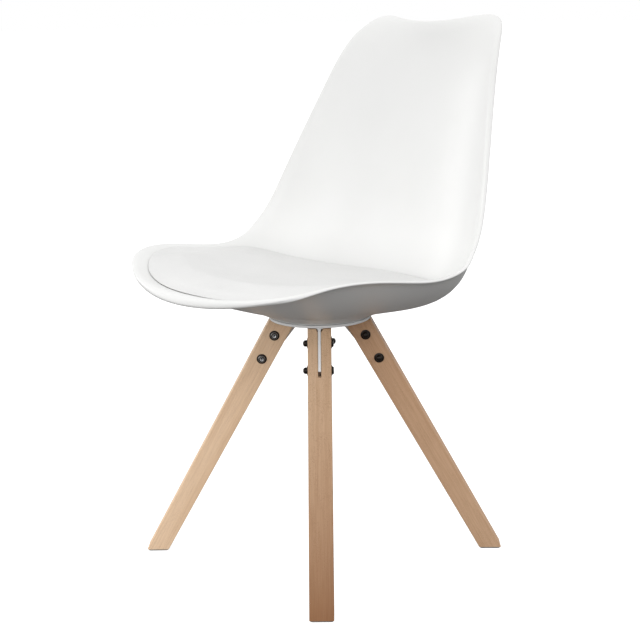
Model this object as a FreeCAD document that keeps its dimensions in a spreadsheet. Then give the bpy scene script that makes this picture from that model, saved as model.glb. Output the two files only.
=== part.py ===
"""Dining chair: a moulded tub seat with an upholstered pad, on four splayed beech legs.

Frame: +Z up, the sitter faces -Y, +X is the sitter's left. The origin is under the middle of
the chair's outer box, on the floor. All sizes are in millimetres.
"""
import FreeCAD, Part
import Sketcher
import math
import os

Vec = FreeCAD.Vector
doc = FreeCAD.newDocument("dining_chair")

# ---------------------------------------------------------------- driving dimensions
DIMENSIONS = {
    # the legs stand round an axis this far behind the origin
    "axis_y": 3.2,
    # tub shell
    "shell_half_width": 237,
    "shell_seat_z": 385.6,
    "shell_wall": 4.5,
    "shell_front_roundness": 4.0,
    "shell_top_roundness": 5.8,
    "boss_radius": 77,
    "boss_flare_radius": 130,
    "boss_flare_height": 24,
    "boss_foot_z": 378.2,
    "insert_radius": 4.5,
    "insert_length": 7.5,
    # round plate under the seat, and the screws that hold it
    "plate_radius": 78,
    "plate_underside_z": 373.6,
    "plate_thickness": 4,
    "plate_edge_round": 1,
    "seat_screw_circle_radius": 56,
    "seat_screw_hole_radius": 3.3,
    "seat_screw_radius": 3,
    "seat_screw_head_radius": 5.75,
    "seat_screw_head_height": 3.3,
    "spacer_radius": 10,
    # legs: radii from the axis of the outer and inner faces, at the plate and at the floor
    "leg_top_outer": 76.8,
    "leg_top_inner": 35.4,
    "leg_foot_outer": 281.3,
    "leg_foot_inner": 247.1,
    "leg_width": 35,
    "leg_top_gap": 1,
    "leg_edge_round": 1.2,
    "slot_width": 5,
    "slot_drop": 62.3,
    "slot_end_slant": 18,
    "weld_notch_radius": 5,
    "cut_margin": 12,
    # fins welded under the plate, one in each leg's slot
    "fin_thickness": 4,
    "fin_drop": 57.9,
    "fin_end_slant": 14,
    "fin_set_back": 0.4,
    "fin_inner_set_back": 6,
    "fin_root_inner": 26,
    "weld_leg_size": 3.6,
    "weld_hollow": 0.3,
    "weld_overlap": 0.5,
    # bolts through leg and fin: how far below the plate they cross
    "upper_bolt_drop": 24.5,
    "lower_bolt_drop": 61,
    "bolt_radius": 3,
    "bolt_hole_radius": 3.3,
    "bolt_flange_radius": 7.8,
    "bolt_flange_height": 1.1,
    "bolt_head_radius": 5.9,
    "bolt_head_height": 3.6,
    "bolt_socket_radius": 2.6,
    "bolt_socket_depth": 2.2,
    "bolt_reach_in_nut": 5,
    "nut_flange_radius": 7.7,
    "nut_flange_height": 1.5,
    "nut_dome_radius": 4.9,
    "nut_height": 7.4,
    # feet
    "glide_width": 33,
    "glide_depth": 31,
    "glide_corner_round": 4,
    "glide_thickness": 2.2,
    "glide_pin_radius": 1.6,
    "glide_pin_length": 12,
    "glide_pin_point": 2,
    # seat pad
    "cushion_gap": 0.6,
    "cushion_board_thickness": 3,
    "cushion_foam_height": 42,
    "cushion_edge_height": 8,
    "cushion_back_height": 16,
    "cushion_cover_thickness": 1.2,
}

sheet = doc.addObject("Spreadsheet::Sheet", "Dims")
for row, (alias, number) in enumerate(DIMENSIONS.items(), start=1):
    sheet.set(f"A{row}", alias)
    sheet.set(f"B{row}", str(number))
    sheet.setAlias(f"B{row}", alias)
doc.recompute()


def dim(alias):
    """The number that the sheet holds under this alias."""
    return float(sheet.get(alias))


# The four legs, named from the sitter's side, and the direction of each from the axis. The rear
# pair stands a degree further out to the sides than the front pair.
LEG_ANGLES = {"front_left": -45, "back_left": 44, "back_right": 136, "front_right": 225}
SCREW_ANGLES = [0, 90, 180, 270]


# ---------------------------------------------------------------- sketch and body helpers
def new_body(label):
    body = doc.addObject("PartDesign::Body", "Body_" + label)
    body.Label = label
    return body


def new_sketch(body, role, name):
    """An empty sketch on one of the body's own origin planes."""
    plane = next(feature for feature in body.Origin.OriginFeatures if feature.Role == role)
    sketch = body.newObject("Sketcher::SketchObject", name)
    sketch.AttachmentSupport = [(plane, "")]
    sketch.MapMode = "FlatFace"
    return sketch


def bind(sketch, constraint, expression):
    sketch.setExpression(f"Constraints[{constraint}]", expression)


def add_polygon(sketch, corners):
    """Closed outline whose corners are pairs of expressions, measured from the sketch origin."""
    values = [(evaluate(across), evaluate(up)) for across, up in corners]
    first = sketch.GeometryCount
    count = len(corners)
    for index in range(count):
        start = values[index]
        end = values[(index + 1) % count]
        sketch.addGeometry(Part.LineSegment(Vec(*start, 0), Vec(*end, 0)), False)
    for index in range(count):
        following = first + (index + 1) % count
        sketch.addConstraint(Sketcher.Constraint("Coincident", first + index, 2, following, 1))
    for index, (across, up) in enumerate(corners):
        number = sketch.addConstraint(
            Sketcher.Constraint("DistanceX", -1, 1, first + index, 1, values[index][0])
        )
        bind(sketch, number, across)
        number = sketch.addConstraint(
            Sketcher.Constraint("DistanceY", -1, 1, first + index, 1, values[index][1])
        )
        bind(sketch, number, up)


def add_circle(sketch, across, up, radius):
    """Circle whose centre and radius are expressions."""
    centre = Vec(evaluate(across), evaluate(up), 0)
    index = sketch.addGeometry(Part.Circle(centre, Vec(0, 0, 1), evaluate(radius)), False)
    number = sketch.addConstraint(Sketcher.Constraint("Radius", index, evaluate(radius)))
    bind(sketch, number, radius)
    number = sketch.addConstraint(Sketcher.Constraint("DistanceX", -1, 1, index, 3, centre.x))
    bind(sketch, number, across)
    number = sketch.addConstraint(Sketcher.Constraint("DistanceY", -1, 1, index, 3, centre.y))
    bind(sketch, number, up)


def evaluate(expression):
    """The value of an expression over the sheet's cells, for a sketch's first guess."""
    result = sheet.evalExpression(expression)
    return float(getattr(result, "Value", result))


def pad_both_ways(body, sketch, thickness):
    pad = body.newObject("PartDesign::Pad", "Pad")
    pad.Profile = sketch
    pad.Midplane = True
    pad.setExpression("Length", thickness)
    return pad


def pocket_both_ways(body, sketch, width):
    """Cut that reaches width/2 to each side of the sketch; it has to take something away."""
    doc.recompute()
    before = body.Shape.Volume
    pocket = body.newObject("PartDesign::Pocket", "Pocket")
    pocket.Profile = sketch
    pocket.Midplane = True
    pocket.setExpression("Length", width)
    doc.recompute()
    if body.Shape.Volume >= before - 1:
        raise RuntimeError(f"{body.Label}: {pocket.Name} cuts nothing")
    return pocket


def revolve_about_vertical(body, sketch):
    turned = body.newObject("PartDesign::Revolution", "Revolution")
    turned.Profile = sketch
    turned.ReferenceAxis = (sketch, ["V_Axis"])
    turned.Angle = 360
    return turned


def around_axis(angle, radius=0.0, height=0.0):
    """Placement turned about the legs' axis, its local X pointing outwards."""
    turn = FreeCAD.Rotation(Vec(0, 0, 1), angle)
    base = turn.multVec(Vec(radius, 0, 0)) + Vec(0, dim("axis_y"), height)
    return FreeCAD.Placement(base, turn)


# ---------------------------------------------------------------- legs, fins and their bolts
LEG_OUTER_SLOPE = "((Dims.leg_foot_outer - Dims.leg_top_outer) / Dims.plate_underside_z)"
LEG_INNER_SLOPE = "((Dims.leg_foot_inner - Dims.leg_top_inner) / Dims.plate_underside_z)"
FOOT_DROP = "(Dims.plate_underside_z - Dims.glide_thickness)"
BOLT_DROPS = ("Dims.upper_bolt_drop", "Dims.lower_bolt_drop")


def outer_face(drop):
    """Expression for the outer face's radius at a drop below the plate."""
    return f"Dims.leg_top_outer + {LEG_OUTER_SLOPE} * ({drop})"


def inner_face(drop):
    return f"Dims.leg_top_inner + {LEG_INNER_SLOPE} * ({drop})"


def middle_of_leg(drop):
    return f"({outer_face(drop)} + {inner_face(drop)}) / 2"


def height_at(drop):
    return f"Dims.plate_underside_z - ({drop})"


def slot_corners():
    """Strip down the leg's middle plane that runs past its faces, its lower end slanted."""
    drop = "Dims.slot_drop"
    inner_drop = "Dims.slot_drop + Dims.slot_end_slant"
    above_leg = "Dims.plate_underside_z + Dims.cut_margin"
    return [
        (f"{outer_face('0')} + Dims.cut_margin", above_leg),
        (f"{outer_face(drop)} + Dims.cut_margin", height_at(drop)),
        (f"{inner_face(inner_drop)} - Dims.cut_margin", height_at(inner_drop)),
        (f"{inner_face('0')} - Dims.cut_margin", above_leg),
    ]


def make_leg(place, angle):
    """Tapered square bar, cut level at both ends, slotted at the top for the fin."""
    body = new_body("leg_" + place)
    side_view = new_sketch(body, "XZ_Plane", "side_view")
    add_polygon(side_view, [
        (outer_face("Dims.leg_top_gap"), height_at("Dims.leg_top_gap")),
        (outer_face(FOOT_DROP), height_at(FOOT_DROP)),
        (inner_face(FOOT_DROP), height_at(FOOT_DROP)),
        (inner_face("Dims.leg_top_gap"), height_at("Dims.leg_top_gap")),
    ])
    pad_both_ways(body, side_view, "Dims.leg_width")
    half_height = dim("plate_underside_z") / 2
    round_edges(body, lambda box: box.ZLength > half_height, "Dims.leg_edge_round")

    slot = new_sketch(body, "XZ_Plane", "slot")
    add_polygon(slot, slot_corners())
    pocket_both_ways(body, slot, "Dims.slot_width")

    notch = new_sketch(body, "YZ_Plane", "weld_notch")
    add_circle(notch, "0", height_at("Dims.leg_top_gap"), "Dims.weld_notch_radius")
    pocket_both_ways(body, notch, "2 * Dims.leg_foot_outer")

    bolt_holes = new_sketch(body, "XZ_Plane", "bolt_holes")
    for drop in BOLT_DROPS:
        add_circle(bolt_holes, middle_of_leg(drop), height_at(drop), "Dims.bolt_hole_radius")
    pocket_both_ways(body, bolt_holes, "Dims.leg_width + Dims.cut_margin")

    pin_hole = new_sketch(body, "XY_Plane", "glide_pin_hole")
    add_circle(pin_hole, middle_of_leg(FOOT_DROP), "0", "Dims.glide_pin_radius")
    pocket_both_ways(body, pin_hole, "2 * (Dims.glide_thickness + Dims.glide_pin_length)")
    body.Placement = around_axis(angle)
    return body


def round_edges(body, wanted, radius):
    """Round each edge of the body whose box passes the test."""
    doc.recompute()
    tip = body.Tip
    names = []
    for number, edge in enumerate(tip.Shape.Edges, start=1):
        if wanted(edge.BoundBox):
            names.append(f"Edge{number}")
    fillet = body.newObject("PartDesign::Fillet", "rounded_edges")
    fillet.Base = (tip, names)
    fillet.setExpression("Radius", radius)
    doc.recompute()


def make_fin(place, angle):
    """Steel plate on edge, with a weld bead down each side where it meets the round plate."""
    body = new_body("leg_fin_" + place)
    face = new_sketch(body, "XZ_Plane", "face")
    inner_drop = "Dims.fin_drop + Dims.fin_end_slant"
    add_polygon(face, [
        ("Dims.leg_top_outer", "Dims.plate_underside_z"),
        (outer_face("Dims.fin_drop") + " - Dims.fin_set_back", height_at("Dims.fin_drop")),
        (inner_face(inner_drop) + " + Dims.fin_inner_set_back", height_at(inner_drop)),
        ("Dims.fin_root_inner", "Dims.plate_underside_z"),
    ])
    pad_both_ways(body, face, "Dims.fin_thickness")
    bead = new_sketch(body, "YZ_Plane", "weld_beads")
    edge = "Dims.fin_thickness / 2"
    waist = "Dims.weld_leg_size * Dims.weld_hollow"
    for sign in ("", "-"):
        corners = [
            (f"{sign}({edge} - Dims.weld_overlap)", "Dims.plate_underside_z"),
            (f"{sign}({edge} + Dims.weld_leg_size)", "Dims.plate_underside_z"),
            (f"{sign}({edge} + {waist})", f"Dims.plate_underside_z - {waist}"),
            (f"{sign}({edge})", "Dims.plate_underside_z - Dims.weld_leg_size"),
            (f"{sign}({edge} - Dims.weld_overlap)", "Dims.plate_underside_z - Dims.weld_leg_size"),
        ]
        add_polygon(bead, corners)
    pad = body.newObject("PartDesign::Pad", "weld_pad")
    pad.Profile = bead
    pad.setExpression("Length", "Dims.leg_top_outer")
    doc.recompute()
    root = new_sketch(body, "XZ_Plane", "weld_start")
    add_polygon(root, [
        ("-Dims.cut_margin", "Dims.plate_underside_z + Dims.cut_margin"),
        ("Dims.fin_root_inner", "Dims.plate_underside_z + Dims.cut_margin"),
        ("Dims.fin_root_inner", "Dims.plate_underside_z - Dims.cut_margin"),
        ("-Dims.cut_margin", "Dims.plate_underside_z - Dims.cut_margin"),
    ])
    pocket_both_ways(body, root, "Dims.leg_width")
    holes = new_sketch(body, "XZ_Plane", "bolt_holes")
    for drop in BOLT_DROPS:
        add_circle(holes, middle_of_leg(drop), height_at(drop), "Dims.bolt_hole_radius")
    pocket_both_ways(body, holes, "Dims.leg_width")
    body.Placement = around_axis(angle)
    return body


def bolt_placement(angle, drop_alias, side):
    """Local Z along the bolt, pointing out of the leg's face on this side (+1 or -1)."""
    drop = dim(drop_alias)
    radius = evaluate(middle_of_leg("Dims." + drop_alias))
    turn = FreeCAD.Rotation(Vec(0, 0, 1), angle)
    base = turn.multVec(Vec(radius, side * dim("leg_width") / 2, 0))
    base += Vec(0, dim("axis_y"), dim("plate_underside_z") - drop)
    tip_over = FreeCAD.Rotation(Vec(1, 0, 0), -90 * side)
    return FreeCAD.Placement(base, turn.multiply(tip_over))


def make_bolt(label):
    """Machine screw with a flanged round head and a hexagon socket; Z=0 is under the flange."""
    body = new_body(label)
    half = new_sketch(body, "XZ_Plane", "half_section")
    add_polygon(half, [
        ("0", "Dims.bolt_head_height"),
        ("Dims.bolt_head_radius * 0.62", "Dims.bolt_head_height"),
        ("Dims.bolt_head_radius * 0.9", "Dims.bolt_head_height * 0.78"),
        ("Dims.bolt_head_radius", "Dims.bolt_flange_height"),
        ("Dims.bolt_flange_radius", "Dims.bolt_flange_height * 0.75"),
        ("Dims.bolt_flange_radius", "0"),
        ("Dims.bolt_radius", "0"),
        ("Dims.bolt_radius", "-(Dims.leg_width + Dims.bolt_reach_in_nut)"),
        ("0", "-(Dims.leg_width + Dims.bolt_reach_in_nut)"),
    ])
    revolve_about_vertical(body, half)
    socket = new_sketch(body, "XY_Plane", "socket")
    socket.AttachmentOffset = FreeCAD.Placement(Vec(0, 0, dim("bolt_head_height")), FreeCAD.Rotation())
    socket.setExpression("AttachmentOffset.Base.z", "Dims.bolt_head_height")
    corners = []
    for step in range(6):
        angle = 60 * step
        corners.append((f"Dims.bolt_socket_radius * cos({angle})", f"Dims.bolt_socket_radius * sin({angle})"))
    add_polygon(socket, corners)
    pocket_both_ways(body, socket, "2 * Dims.bolt_socket_depth")
    return body


def make_cap_nut(label):
    """Domed nut with a flange; Z=0 is the flange's seat, and the bolt enters from below."""
    body = new_body(label)
    half = new_sketch(body, "XZ_Plane", "half_section")
    hole_top = "Dims.bolt_reach_in_nut + 0.3"
    add_polygon(half, [
        ("0", hole_top),
        ("Dims.bolt_radius", hole_top),
        ("Dims.bolt_radius", "0"),
        ("Dims.nut_flange_radius", "0"),
        ("Dims.nut_flange_radius", "Dims.nut_flange_height * 0.7"),
        ("Dims.nut_dome_radius + 0.6", "Dims.nut_flange_height"),
        ("Dims.nut_dome_radius", "Dims.nut_height * 0.52"),
        ("Dims.nut_dome_radius * 0.87", "Dims.nut_height * 0.76"),
        ("Dims.nut_dome_radius * 0.5", "Dims.nut_height * 0.94"),
        ("0", "Dims.nut_height"),
    ])
    revolve_about_vertical(body, half)
    return body


def group(label, members):
    """One node made of identical, separate solids."""
    compound = doc.addObject("Part::Compound", "Group_" + label)
    compound.Label = label
    compound.Links = members
    return compound


def make_leg_fasteners(place, angle):
    drops = {"upper": "upper_bolt_drop", "lower": "lower_bolt_drop"}
    bolts = []
    nuts = []
    for which, drop_alias in drops.items():
        bolt = make_bolt(f"bolt_{which}_{place}")
        bolt.Placement = bolt_placement(angle, drop_alias, 1)
        bolts.append(bolt)
        nut = make_cap_nut(f"nut_{which}_{place}")
        nut.Placement = bolt_placement(angle, drop_alias, -1)
        nuts.append(nut)
    return [group("leg_bolts_" + place, bolts), group("cap_nuts_" + place, nuts)]


def make_glide(place, angle):
    """Foot pad with rounded corners, and a pin that is driven up into the leg."""
    body = new_body("foot_glide_" + place)
    sole = new_sketch(body, "XY_Plane", "sole")
    half_depth = "Dims.glide_depth / 2"
    half_width = "Dims.glide_width / 2"
    add_polygon(sole, [
        (f"-{half_depth}", f"-{half_width}"),
        (half_depth, f"-{half_width}"),
        (half_depth, half_width),
        (f"-{half_depth}", half_width),
    ])
    pad = body.newObject("PartDesign::Pad", "Pad")
    pad.Profile = sole
    pad.setExpression("Length", "Dims.glide_thickness")
    round_edges(body, lambda box: box.ZLength > dim("glide_thickness") / 2, "Dims.glide_corner_round")
    pin = new_sketch(body, "XZ_Plane", "pin")
    tip_height = "Dims.glide_thickness + Dims.glide_pin_length"
    middle_height = "Dims.glide_thickness / 2"
    add_polygon(pin, [
        ("0", middle_height),
        ("Dims.glide_pin_radius", middle_height),
        ("Dims.glide_pin_radius", f"{tip_height} - Dims.glide_pin_point"),
        ("0", tip_height),
    ])
    revolve_about_vertical(body, pin)
    body.Placement = around_axis(angle, evaluate(middle_of_leg(FOOT_DROP)))
    return body


# ---------------------------------------------------------------- plate and seat screws
def make_plate():
    """Round steel plate with four screw holes, its lower edge rounded over."""
    body = new_body("mounting_plate")
    disc = new_sketch(body, "XY_Plane", "disc")
    add_circle(disc, "0", "0", "Dims.plate_radius")
    pad = body.newObject("PartDesign::Pad", "Pad")
    pad.Profile = disc
    pad.setExpression("Length", "Dims.plate_thickness")
    half_thickness = dim("plate_thickness") / 2
    round_edges(body, lambda box: box.ZMax < half_thickness, "Dims.plate_edge_round")
    hole = new_sketch(body, "XY_Plane", "screw_hole")
    add_circle(hole, "Dims.seat_screw_circle_radius", "0", "Dims.seat_screw_hole_radius")
    pocket = pocket_both_ways(body, hole, "2 * Dims.plate_thickness + Dims.cut_margin")
    pattern = body.newObject("PartDesign::PolarPattern", "screw_holes")
    pattern.Originals = [pocket]
    pattern.Axis = (hole, ["N_Axis"])
    pattern.Angle = 360
    pattern.Occurrences = len(SCREW_ANGLES)
    body.Tip = pattern
    body.Placement = around_axis(0, 0, dim("plate_underside_z"))
    return body


def turned_group(label, half_section, foot_height):
    """The same turned piece at each of the four seat-screw places."""
    members = []
    for angle in SCREW_ANGLES:
        body = new_body(f"{label}_{angle}")
        half = new_sketch(body, "XZ_Plane", "half_section")
        add_polygon(half, half_section)
        revolve_about_vertical(body, half)
        body.Placement = around_axis(angle, dim("seat_screw_circle_radius"), foot_height)
        members.append(body)
    return group(label, members)


def make_seat_screws():
    reach = "Dims.boss_foot_z - Dims.plate_underside_z + Dims.insert_length - 1"
    section = [
        ("0", "-Dims.seat_screw_head_height"),
        ("Dims.seat_screw_head_radius * 0.8", "-Dims.seat_screw_head_height"),
        ("Dims.seat_screw_head_radius", "-Dims.seat_screw_head_height * 0.6"),
        ("Dims.seat_screw_head_radius", "0"),
        ("Dims.seat_screw_radius", "0"),
        ("Dims.seat_screw_radius", reach),
        ("0", reach),
    ]
    return turned_group("seat_screws", section, dim("plate_underside_z"))


def make_seat_inserts():
    section = [
        ("Dims.seat_screw_radius", "0"),
        ("Dims.insert_radius", "0"),
        ("Dims.insert_radius", "Dims.insert_length"),
        ("0", "Dims.insert_length"),
        ("0", "Dims.insert_length - 0.8"),
        ("Dims.seat_screw_radius", "Dims.insert_length - 0.8"),
    ]
    return turned_group("seat_inserts", section, dim("boss_foot_z"))


def make_plate_spacers():
    thickness = "Dims.boss_foot_z - Dims.plate_underside_z - Dims.plate_thickness"
    section = [
        ("Dims.seat_screw_hole_radius", "0"),
        ("Dims.spacer_radius", "0"),
        ("Dims.spacer_radius", thickness),
        ("Dims.seat_screw_hole_radius", thickness),
    ]
    top_of_plate = dim("plate_underside_z") + dim("plate_thickness")
    return turned_group("plate_spacers", section, top_of_plate)


# ---------------------------------------------------------------- the tub's surface
# The tub is one sheet. Its middle line runs from the front edge, back over the seat, round the
# bend and up the back; each row below is one station along it. The first pair is the middle
# line's (y, height above the seat's low point). The other three are the side edge there: its
# half-width as a share of the widest, its y, and its height above the seat's low point.
STATIONS = [
    ((-277, 57), (0.785, -225, 68)),
    ((-259, 64), (0.840, -211, 85)),
    ((-205, 45), (0.924, -178, 102)),
    ((-108, 15), (0.987, -105, 100)),
    ((-2, 5), (0.996, -8, 85)),
    ((96, 0), (1.006, 50, 92)),
    ((151, 23), (0.992, 71, 108)),
    ((179, 92), (0.958, 99, 141)),
    ((200, 186), (0.882, 136, 220)),
    ((222, 287), (0.772, 185, 331)),
    ((239, 373), (0.705, 235, 418)),
    ((244, 428), (0.650, 311, 471)),
]
LAST_STATION = len(STATIONS) - 1
MIDDLE_STATION = 5
SPOKES = 72             # points round each ring of the sheet

# How flat the middle of a cross-section is: the power of its curve at the front edge, at the
# bend and at the top.
FRONT_POWER = 2.0
BEND_POWER = 3.15
TOP_POWER = 2.05


def smooth_line(points):
    """Smooth curve that passes each station's point at that station's number."""
    curve = Part.BSplineCurve()
    curve.interpolate(Points=points, Parameters=[float(i) for i in range(len(points))])
    return curve


def tub_lines():
    seat_z = dim("shell_seat_z")
    half_width = dim("shell_half_width")
    shift = dim("axis_y")
    middle = [Vec(0, y + shift, seat_z + rise) for (y, rise), side in STATIONS]
    edge = [
        Vec(share * half_width, y + shift, seat_z + rise) for line, (share, y, rise) in STATIONS
    ]
    return smooth_line(middle), smooth_line(edge)


MIDDLE_LINE, SIDE_EDGE = tub_lines()


def cross_power(station):
    """Power of the cross-section's curve, by a parabola through the three stated ones."""
    half = LAST_STATION / 2
    place = station / half - 1
    tilt = (TOP_POWER - FRONT_POWER) / 2
    bow = (TOP_POWER + FRONT_POWER) / 2 - BEND_POWER
    return BEND_POWER + tilt * place + bow * place ** 2


def sheet_point(across, station):
    """Point of the tub's upper surface; across runs from -1 at one side edge to 1 at the other."""
    station = min(max(station, 0.0), float(LAST_STATION))
    middle = MIDDLE_LINE.value(station)
    edge = SIDE_EDGE.value(station)
    lift = abs(across) ** cross_power(station)
    return Vec(
        edge.x * across,
        middle.y + (edge.y - middle.y) * lift,
        middle.z + (edge.z - middle.z) * lift,
    )


def sheet_normal(across, station):
    """Unit normal of the upper surface, pointing to the sitter."""
    step = 0.01
    low = max(station - step, 0.0)
    high = min(station + step, float(LAST_STATION))
    along = sheet_point(across, high) - sheet_point(across, low)
    sideways = sheet_point(across + step, station) - sheet_point(across - step, station)
    normal = sideways.cross(along)
    normal.normalize()
    return normal


def tub_outline(turn):
    """Point of the rim at this turn, as (across, stations from the middle one)."""
    cosine = math.cos(turn)
    sine = math.sin(turn)
    if sine < 0:
        roundness = dim("shell_front_roundness")
        reach = MIDDLE_STATION
    else:
        roundness = dim("shell_top_roundness")
        reach = LAST_STATION - MIDDLE_STATION
    across = math.copysign(abs(cosine) ** (2 / roundness), cosine)
    along = math.copysign(abs(sine) ** (2 / roundness), sine) * reach
    return across, along


def even_spokes(outline, point_at):
    """Points of a closed outline, spaced evenly along the curve that they make in space."""
    fine = 1440
    places = [outline(2 * math.pi * index / fine - math.pi / 2) for index in range(fine + 1)]
    run = [0.0]
    for place, following in zip(places, places[1:]):
        run.append(run[-1] + point_at(*place).distanceToPoint(point_at(*following)))
    chosen = []
    index = 0
    for spoke in range(SPOKES):
        wanted = run[-1] * spoke / SPOKES
        while run[index + 1] < wanted:
            index += 1
        share = (wanted - run[index]) / (run[index + 1] - run[index])
        before = places[index]
        after = places[index + 1]
        chosen.append(tuple(a + (b - a) * share for a, b in zip(before, after)))
    return chosen


def flattened(ring):
    """The ring laid level at its own mean height, so that a flat face can close it."""
    level = sum(point.z for point in ring) / len(ring)
    return [Vec(point.x, point.y, level) for point in ring]


# ---------------------------------------------------------------- skinning
def skin(rings):
    """Smooth closed-round surface through a list of rings that have the same point count."""
    turns = [float(index) for index in range(SPOKES + 1)]
    hoops = []
    for ring in rings:
        hoop = Part.BSplineCurve()
        hoop.interpolate(Points=ring, Parameters=turns, PeriodicFlag=True)
        hoops.append(hoop)
    spans = [0.0]
    for inner, outer in zip(rings, rings[1:]):
        distances = [point.distanceToPoint(other) for point, other in zip(inner, outer)]
        spans.append(spans[-1] + sum(distances) / len(distances))
    columns = []
    for poles in zip(*[hoop.getPoles() for hoop in hoops]):
        rib = Part.BSplineCurve()
        rib.interpolate(Points=list(poles), Parameters=spans)
        columns.append(rib)
    surface = Part.BSplineSurface()
    surface.buildFromPolesMultsKnots(
        [rib.getPoles() for rib in columns],
        hoops[0].getMultiplicities(),
        columns[0].getMultiplicities(),
        hoops[0].getKnots(),
        columns[0].getKnots(),
        True,
        False,
        hoops[0].Degree,
        columns[0].Degree,
    )
    return surface.toShape()


def closed_solid(bands):
    """Solid bounded by bands of rings, each sharing an end ring with the next, and two flat ends."""
    faces = [skin(band) for band in bands]
    for ring in (bands[0][0], bands[-1][-1]):
        hoop = Part.BSplineCurve()
        hoop.interpolate(
            Points=ring,
            Parameters=[float(index) for index in range(SPOKES + 1)],
            PeriodicFlag=True,
        )
        faces.append(Part.Face(Part.Wire([hoop.toShape()])))
    shell = Part.Shell(faces)
    shell.sewShape()
    solid = Part.Solid(shell)
    if solid.Volume < 0:
        solid.reverse()
    return solid


def shape_feature(label, shape):
    feature = doc.addObject("Part::Feature", "Feature_" + label)
    feature.Label = label
    feature.Shape = shape
    return feature


# ---------------------------------------------------------------- shell
EVEN_RINGS = 24
SHELL_RINGS = [0.06 + 0.87 * index / (EVEN_RINGS - 1) for index in range(EVEN_RINGS)]
SHELL_RINGS += [0.955, 0.975, 0.99]


RIM_SPOKES = even_spokes(
    tub_outline, lambda across, along: sheet_point(across, MIDDLE_STATION + along)
)


def shell_ring(share, depth):
    """Ring at this share of the way to the rim, sunk below the upper surface by depth."""
    ring = []
    for across, along in RIM_SPOKES:
        place = (across * share, MIDDLE_STATION + along * share)
        ring.append(sheet_point(*place) - sheet_normal(*place) * depth)
    return ring


def rim_band():
    """Half-round edge from the upper rim ring to the lower one."""
    wall = dim("shell_wall")
    inside = shell_ring(SHELL_RINGS[-2], wall / 2)
    middle = shell_ring(SHELL_RINGS[-1], wall / 2)
    upper = shell_ring(SHELL_RINGS[-1], 0)
    rings = []
    for step in range(5):
        angle = math.pi * step / 4
        ring = []
        for behind, centre, top in zip(inside, middle, upper):
            outward = centre - behind
            outward.normalize()
            ring.append(
                centre + (top - centre) * math.cos(angle) + outward * (wall / 2) * math.sin(angle)
            )
        rings.append(ring)
    return rings


def space_over_seat():
    """Block of the space above the middle of the shell's wall, to trim the boss from."""
    middle_of_wall = dim("shell_wall") / 2
    floor = [shell_ring(share, middle_of_wall) for share in SHELL_RINGS if share < 0.75]
    floor[0] = flattened(floor[0])
    lid_height = dim("shell_seat_z") + 2 * dim("shell_half_width")
    lid = [Vec(point.x, point.y, lid_height) for point in floor[-1]]
    return closed_solid([floor, [floor[-1], lid]])


def make_shell():
    """Tub with a flared boss moulded under the seat, bored for the four threaded inserts."""
    wall = dim("shell_wall")
    upper = [shell_ring(share, 0) for share in SHELL_RINGS]
    lower = [shell_ring(share, wall) for share in reversed(SHELL_RINGS)]
    upper[0] = flattened(upper[0])
    lower[-1] = flattened(lower[-1])
    tub = closed_solid([upper, rim_band(), lower])
    foot = dim("boss_foot_z")
    boss = Part.makeCone(dim("boss_radius"), dim("boss_flare_radius"), dim("boss_flare_height"))
    boss.Placement = around_axis(0, 0, foot)
    tub = tub.fuse(boss.cut(space_over_seat()))
    for angle in SCREW_ANGLES:
        pocket = Part.makeCylinder(dim("insert_radius"), dim("insert_length"))
        pocket.Placement = around_axis(angle, dim("seat_screw_circle_radius"), foot)
        tub = tub.cut(pocket)
    return shape_feature("shell", tub)


# ---------------------------------------------------------------- seat pad
PAD_FRONT_STATION = 1.5
PAD_BACK_STATION = 6.0
PAD_HALF_SHARE = 0.94
PAD_FRONT_ROUNDNESS = 3.4
PAD_BACK_ROUNDNESS = 2.7
PAD_RINGS = [0.08, 0.18, 0.28, 0.38, 0.48, 0.58, 0.67, 0.75, 0.82, 0.88, 0.93, 0.97, 1.0]
PAD_MIDDLE = (PAD_FRONT_STATION + PAD_BACK_STATION) / 2
PAD_REACH = (PAD_BACK_STATION - PAD_FRONT_STATION) / 2
PAD_FOAM_SHARE = 0.985      # the foam's edge, as a share of the cover's
PAD_BOARD_SHARE = 0.95


def pad_outline(turn):
    cosine = math.cos(turn)
    sine = math.sin(turn)
    roundness = PAD_FRONT_ROUNDNESS if sine < 0 else PAD_BACK_ROUNDNESS
    across = math.copysign(abs(cosine) ** (2 / roundness), cosine) * PAD_HALF_SHARE
    along = math.copysign(abs(sine) ** (2 / roundness), sine) * PAD_REACH
    return across, along


PAD_SPOKES = even_spokes(
    pad_outline, lambda across, along: sheet_point(across, PAD_MIDDLE + along)
)


def pad_ring(share, height_at):
    """Ring over the tub; height_at gives each spoke's height above the tub's upper surface.

    The gap to the tub is square to its surface, and the pad's own thickness is upright.
    """
    gap = dim("cushion_gap")
    ring = []
    for across, along in PAD_SPOKES:
        place = (across * share, PAD_MIDDLE + along * share)
        height = height_at(share, along / PAD_REACH)
        ring.append(sheet_point(*place) + sheet_normal(*place) * gap + Vec(0, 0, height - gap))
    return ring


def level(height):
    return lambda share, rearward: height


def crown(allowance):
    """Height of the crowned face: full in the middle, thin at the front and sides, deep behind."""
    gap = dim("cushion_gap")
    top = gap + dim("cushion_foam_height")
    front = gap + dim("cushion_edge_height")
    back = gap + dim("cushion_back_height")

    def height(share, rearward):
        edge = front + (back - front) * max(rearward, 0.0) ** 3
        return edge + (top - edge) * (1 - share ** 4) + allowance

    return height


def pad_solid(low, face, inset):
    """Block on the tub: flat to it below, with the given face above; inset pulls in its edge."""
    lower = [pad_ring(share * inset, low) for share in PAD_RINGS]
    upper = [pad_ring(share * inset, face) for share in reversed(PAD_RINGS)]
    lower[0] = flattened(lower[0])
    upper[-1] = flattened(upper[-1])
    side = [lower[-1], upper[0]]
    return closed_solid([lower, side, upper])


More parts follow.
